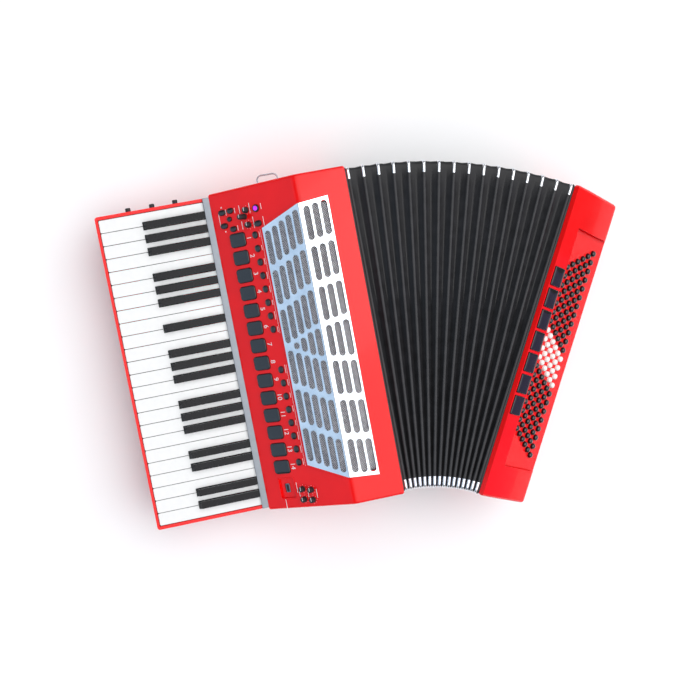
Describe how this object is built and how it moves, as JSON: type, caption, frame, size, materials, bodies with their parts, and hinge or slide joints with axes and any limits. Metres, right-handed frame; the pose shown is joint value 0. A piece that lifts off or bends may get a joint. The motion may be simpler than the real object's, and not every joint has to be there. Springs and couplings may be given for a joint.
{
  "type": "piano accordion",
  "caption": "Digital piano accordion lying on its back, bellows fanned open between a keyboard side and a bass button side, with playable keys, buttons and knobs.",
  "frame": {"origin": "back of the treble case, at its bellows edge, half way up the keyboard", "axes": "+X from the keyboard side to the bass side, +Y to the chin end, +Z to the front of the instrument"},
  "size_m": [0.7909, 0.5738, 0.1936],
  "materials": {
    "red_gloss": "polished",
    "black_gloss": "polished",
    "white_gloss": "polished",
    "satin_aluminium": "satin",
    "chrome": "polished",
    "steel": "satin",
    "rubber": "matte",
    "matte_black": "matte",
    "board": "satin",
    "bellows_cloth": "matte",
    "bellows_edge": "satin",
    "strap_leather": "satin"
  },
  "bodies": {
    "treble": {"treble_case": "red_gloss", "treble_back_cover": "matte_black", "keyboard_bed": "red_gloss", "key_axle": "steel", "key_contact_board": "board", "finger_strip": "satin_aluminium", "grille_plate": "chrome", "grille_mesh": "steel", "main_board": "board", "treble_speakers": "matte_black", "usb_socket": "red_gloss", "strap_loops": "chrome", "treble_feet": "rubber", "treble_bellows_frame": "bellows_edge", "bellows_folds": "bellows_cloth"},
    "ridge_body_2": {"ridge_2": "bellows_edge"},
    "ridge_body_3": {"ridge_3": "bellows_edge"},
    "ridge_body_4": {"ridge_4": "bellows_edge"},
    "ridge_body_5": {"ridge_5": "bellows_edge"},
    "ridge_body_6": {"ridge_6": "bellows_edge"},
    "ridge_body_7": {"ridge_7": "bellows_edge"},
    "ridge_body_8": {"ridge_8": "bellows_edge"},
    "ridge_body_9": {"ridge_9": "bellows_edge"},
    "ridge_body_10": {"ridge_10": "bellows_edge"},
    "ridge_body_11": {"ridge_11": "bellows_edge"},
    "ridge_body_12": {"ridge_12": "bellows_edge"},
    "ridge_body_13": {"ridge_13": "bellows_edge"},
    "ridge_body_14": {"ridge_14": "bellows_edge"},
    "ridge_body_15": {"ridge_15": "bellows_edge"},
    "bass": {"bass_bellows_frame": "bellows_edge", "bass_case": "red_gloss", "bass_back_cover": "matte_black", "battery_pack": "matte_black", "bass_strap": "strap_leather", "strap_brackets": "steel", "bass_feet": "rubber"},
    "white_key_group_1": {"white_keys_1": "white_gloss"},
    "black_key_group_1": {"black_keys_1": "black_gloss"},
    "white_key_group_2": {"white_keys_2": "white_gloss"},
    "black_key_group_2": {"black_keys_2": "black_gloss"},
    "white_key_group_3": {"white_keys_3": "white_gloss"},
    "black_key_group_3": {"black_keys_3": "black_gloss"},
    "white_key_group_4": {"white_keys_4": "white_gloss"},
    "black_key_group_4": {"black_keys_4": "black_gloss"},
    "treble_register_group": {"treble_registers": "black_gloss"},
    "memory_button_group": {"memory_buttons": "black_gloss"},
    "menu_button_group": {"menu_buttons": "black_gloss"},
    "end_button_group": {"end_buttons": "matte_black"},
    "bass_register_group": {"bass_registers": "black_gloss"},
    "bass_button_group": {"bass_buttons": "black_gloss"},
    "edit_knob_body": {"edit_knob": "matte_black"},
    "level_knob_body_1": {"level_knob_1": "matte_black"},
    "level_knob_body_2": {"level_knob_2": "matte_black"},
    "level_knob_body_3": {"level_knob_3": "matte_black"},
    "level_knob_body_4": {"level_knob_4": "matte_black"},
    "level_knob_body_5": {"level_knob_5": "matte_black"},
    "level_knob_body_6": {"level_knob_6": "matte_black"}
  },
  "joints": [
    {"name": "bellows_fold_1", "type": "hinge", "parent": "treble", "child": "ridge_body_2", "pos_m": [0.0086, -0.243, 0], "axis": [0, 0, -1], "range_deg": [-1.87, 0.8]},
    {"name": "bellows_fold_2", "type": "hinge", "parent": "ridge_body_2", "child": "ridge_body_3", "pos_m": [0.0156, -0.24323, 0], "axis": [0, 0, -1], "range_deg": [-1.87, 0.8]},
    {"name": "bellows_fold_3", "type": "hinge", "parent": "ridge_body_3", "child": "ridge_body_4", "pos_m": [0.02258, -0.24368, 0], "axis": [0, 0, -1], "range_deg": [-1.87, 0.8]},
    {"name": "bellows_fold_4", "type": "hinge", "parent": "ridge_body_4", "child": "ridge_body_5", "pos_m": [0.02955, -0.24437, 0], "axis": [0, 0, -1], "range_deg": [-1.87, 0.8]},
    {"name": "bellows_fold_5", "type": "hinge", "parent": "ridge_body_5", "child": "ridge_body_6", "pos_m": [0.03649, -0.24528, 0], "axis": [0, 0, -1], "range_deg": [-1.87, 0.8]},
    {"name": "bellows_fold_6", "type": "hinge", "parent": "ridge_body_6", "child": "ridge_body_7", "pos_m": [0.0434, -0.24641, 0], "axis": [0, 0, -1], "range_deg": [-1.87, 0.8]},
    {"name": "bellows_fold_7", "type": "hinge", "parent": "ridge_body_7", "child": "ridge_body_8", "pos_m": [0.05026, -0.24777, 0], "axis": [0, 0, -1], "range_deg": [-1.87, 0.8]},
    {"name": "bellows_fold_8", "type": "hinge", "parent": "ridge_body_8", "child": "ridge_body_9", "pos_m": [0.05708, -0.24935, 0], "axis": [0, 0, -1], "range_deg": [-1.87, 0.8]},
    {"name": "bellows_fold_9", "type": "hinge", "parent": "ridge_body_9", "child": "ridge_body_10", "pos_m": [0.06384, -0.25116, 0], "axis": [0, 0, -1], "range_deg": [-1.87, 0.8]},
    {"name": "bellows_fold_10", "type": "hinge", "parent": "ridge_body_10", "child": "ridge_body_11", "pos_m": [0.07055, -0.25318, 0], "axis": [0, 0, -1], "range_deg": [-1.87, 0.8]},
    {"name": "bellows_fold_11", "type": "hinge", "parent": "ridge_body_11", "child": "ridge_body_12", "pos_m": [0.07718, -0.25542, 0], "axis": [0, 0, -1], "range_deg": [-1.87, 0.8]},
    {"name": "bellows_fold_12", "type": "hinge", "parent": "ridge_body_12", "child": "ridge_body_13", "pos_m": [0.08373, -0.25788, 0], "axis": [0, 0, -1], "range_deg": [-1.87, 0.8]},
    {"name": "bellows_fold_13", "type": "hinge", "parent": "ridge_body_13", "child": "ridge_body_14", "pos_m": [0.0902, -0.26054, 0], "axis": [0, 0, -1], "range_deg": [-1.87, 0.8]},
    {"name": "bellows_fold_14", "type": "hinge", "parent": "ridge_body_14", "child": "ridge_body_15", "pos_m": [0.09659, -0.26342, 0], "axis": [0, 0, -1], "range_deg": [-1.87, 0.8]},
    {"name": "bellows_fold_15", "type": "hinge", "parent": "ridge_body_15", "child": "bass", "pos_m": [0.10287, -0.2665, 0], "axis": [0, 0, -1], "range_deg": [-1.87, 0.8], "deforming": ["bellows_folds"]},
    {"name": "white_keys_1_press", "type": "hinge", "parent": "treble", "child": "white_key_group_1", "pos_m": [-0.205, 0, 0.087], "axis": [0, -1, 0], "range_deg": [0, 1.6], "stiffness_Nm_per_rad": 1.6, "springref_deg": -9.17},
    {"name": "black_keys_1_press", "type": "hinge", "parent": "treble", "child": "black_key_group_1", "pos_m": [-0.205, 0, 0.087], "axis": [0, -1, 0], "range_deg": [0, 2], "stiffness_Nm_per_rad": 1.2, "springref_deg": -6.88},
    {"name": "white_keys_2_press", "type": "hinge", "parent": "treble", "child": "white_key_group_2", "pos_m": [-0.205, 0, 0.087], "axis": [0, -1, 0], "range_deg": [0, 1.6], "stiffness_Nm_per_rad": 1.6, "springref_deg": -9.17},
    {"name": "black_keys_2_press", "type": "hinge", "parent": "treble", "child": "black_key_group_2", "pos_m": [-0.205, 0, 0.087], "axis": [0, -1, 0], "range_deg": [0, 2], "stiffness_Nm_per_rad": 1.2, "springref_deg": -6.88},
    {"name": "white_keys_3_press", "type": "hinge", "parent": "treble", "child": "white_key_group_3", "pos_m": [-0.205, 0, 0.087], "axis": [0, -1, 0], "range_deg": [0, 1.6], "stiffness_Nm_per_rad": 1.6, "springref_deg": -9.17},
    {"name": "black_keys_3_press", "type": "hinge", "parent": "treble", "child": "black_key_group_3", "pos_m": [-0.205, 0, 0.087], "axis": [0, -1, 0], "range_deg": [0, 2], "stiffness_Nm_per_rad": 1.2, "springref_deg": -6.88},
    {"name": "white_keys_4_press", "type": "hinge", "parent": "treble", "child": "white_key_group_4", "pos_m": [-0.205, 0, 0.087], "axis": [0, -1, 0], "range_deg": [0, 1.6], "stiffness_Nm_per_rad": 1.6, "springref_deg": -9.17},
    {"name": "black_keys_4_press", "type": "hinge", "parent": "treble", "child": "black_key_group_4", "pos_m": [-0.205, 0, 0.087], "axis": [0, -1, 0], "range_deg": [0, 2], "stiffness_Nm_per_rad": 1.2, "springref_deg": -6.88},
    {"name": "treble_register_group_press", "type": "slide", "parent": "treble", "child": "treble_register_group", "axis": [0.5736, 0, -0.8192], "range_m": [0, 0.0015], "stiffness_N_per_m": 1500, "springref_m": -0.002},
    {"name": "memory_button_group_press", "type": "slide", "parent": "treble", "child": "memory_button_group", "axis": [0.5736, 0, -0.8192], "range_m": [0, 0.0012], "stiffness_N_per_m": 1000, "springref_m": -0.001},
    {"name": "menu_button_group_press", "type": "slide", "parent": "treble", "child": "menu_button_group", "axis": [0.5736, 0, -0.8192], "range_m": [0, 0.0012], "stiffness_N_per_m": 1000, "springref_m": -0.001},
    {"name": "end_button_group_press", "type": "slide", "parent": "treble", "child": "end_button_group", "axis": [0, -1, 0], "range_m": [0, 0.0012], "stiffness_N_per_m": 500, "springref_m": -0.001},
    {"name": "bass_register_group_press", "type": "slide", "parent": "bass", "child": "bass_register_group", "axis": [-0.4591, 0.2441, -0.8542], "range_m": [0, 0.0015], "stiffness_N_per_m": 1500, "springref_m": -0.002},
    {"name": "bass_button_group_press", "type": "slide", "parent": "bass", "child": "bass_button_group", "axis": [-0.5336, 0.2837, -0.7967], "range_m": [0, 0.0025], "stiffness_N_per_m": 1500, "springref_m": -0.002},
    {"name": "edit_knob_turn", "type": "hinge", "parent": "treble", "child": "edit_knob_body", "pos_m": [-0.15231, 0.201, 0.13587], "axis": [-0.5736, 0, 0.8192], "continuous": true},
    {"name": "level_knob_1_turn", "type": "hinge", "parent": "treble", "child": "level_knob_body_1", "pos_m": [-0.14821, 0.21, 0.13874], "axis": [-0.5736, 0, 0.8192], "range_deg": [-150, 150]},
    {"name": "level_knob_2_turn", "type": "hinge", "parent": "treble", "child": "level_knob_body_2", "pos_m": [-0.14821, 0.188, 0.13874], "axis": [-0.5736, 0, 0.8192], "range_deg": [-150, 150]},
    {"name": "level_knob_3_turn", "type": "hinge", "parent": "treble", "child": "level_knob_body_3", "pos_m": [-0.14412, -0.2155, 0.1416], "axis": [-0.5736, 0, 0.8192], "range_deg": [-150, 150]},
    {"name": "level_knob_4_turn", "type": "hinge", "parent": "treble", "child": "level_knob_body_4", "pos_m": [-0.13183, -0.2175, 0.15021], "axis": [-0.5736, 0, 0.8192], "range_deg": [-150, 150]},
    {"name": "level_knob_5_turn", "type": "hinge", "parent": "treble", "child": "level_knob_body_5", "pos_m": [-0.14412, -0.2315, 0.1416], "axis": [-0.5736, 0, 0.8192], "range_deg": [-150, 150]},
    {"name": "level_knob_6_turn", "type": "hinge", "parent": "treble", "child": "level_knob_body_6", "pos_m": [-0.13183, -0.233, 0.15021], "axis": [-0.5736, 0, 0.8192], "range_deg": [-150, 150]}
  ],
  "couplings": [
    {"joint": "bellows_fold_1", "follows": "bellows_fold_15", "ratio": 1},
    {"joint": "bellows_fold_2", "follows": "bellows_fold_15", "ratio": 1},
    {"joint": "bellows_fold_3", "follows": "bellows_fold_15", "ratio": 1},
    {"joint": "bellows_fold_4", "follows": "bellows_fold_15", "ratio": 1},
    {"joint": "bellows_fold_5", "follows": "bellows_fold_15", "ratio": 1},
    {"joint": "bellows_fold_6", "follows": "bellows_fold_15", "ratio": 1},
    {"joint": "bellows_fold_7", "follows": "bellows_fold_15", "ratio": 1},
    {"joint": "bellows_fold_8", "follows": "bellows_fold_15", "ratio": 1},
    {"joint": "bellows_fold_9", "follows": "bellows_fold_15", "ratio": 1},
    {"joint": "bellows_fold_10", "follows": "bellows_fold_15", "ratio": 1},
    {"joint": "bellows_fold_11", "follows": "bellows_fold_15", "ratio": 1},
    {"joint": "bellows_fold_12", "follows": "bellows_fold_15", "ratio": 1},
    {"joint": "bellows_fold_13", "follows": "bellows_fold_15", "ratio": 1},
    {"joint": "bellows_fold_14", "follows": "bellows_fold_15", "ratio": 1}
  ]
}
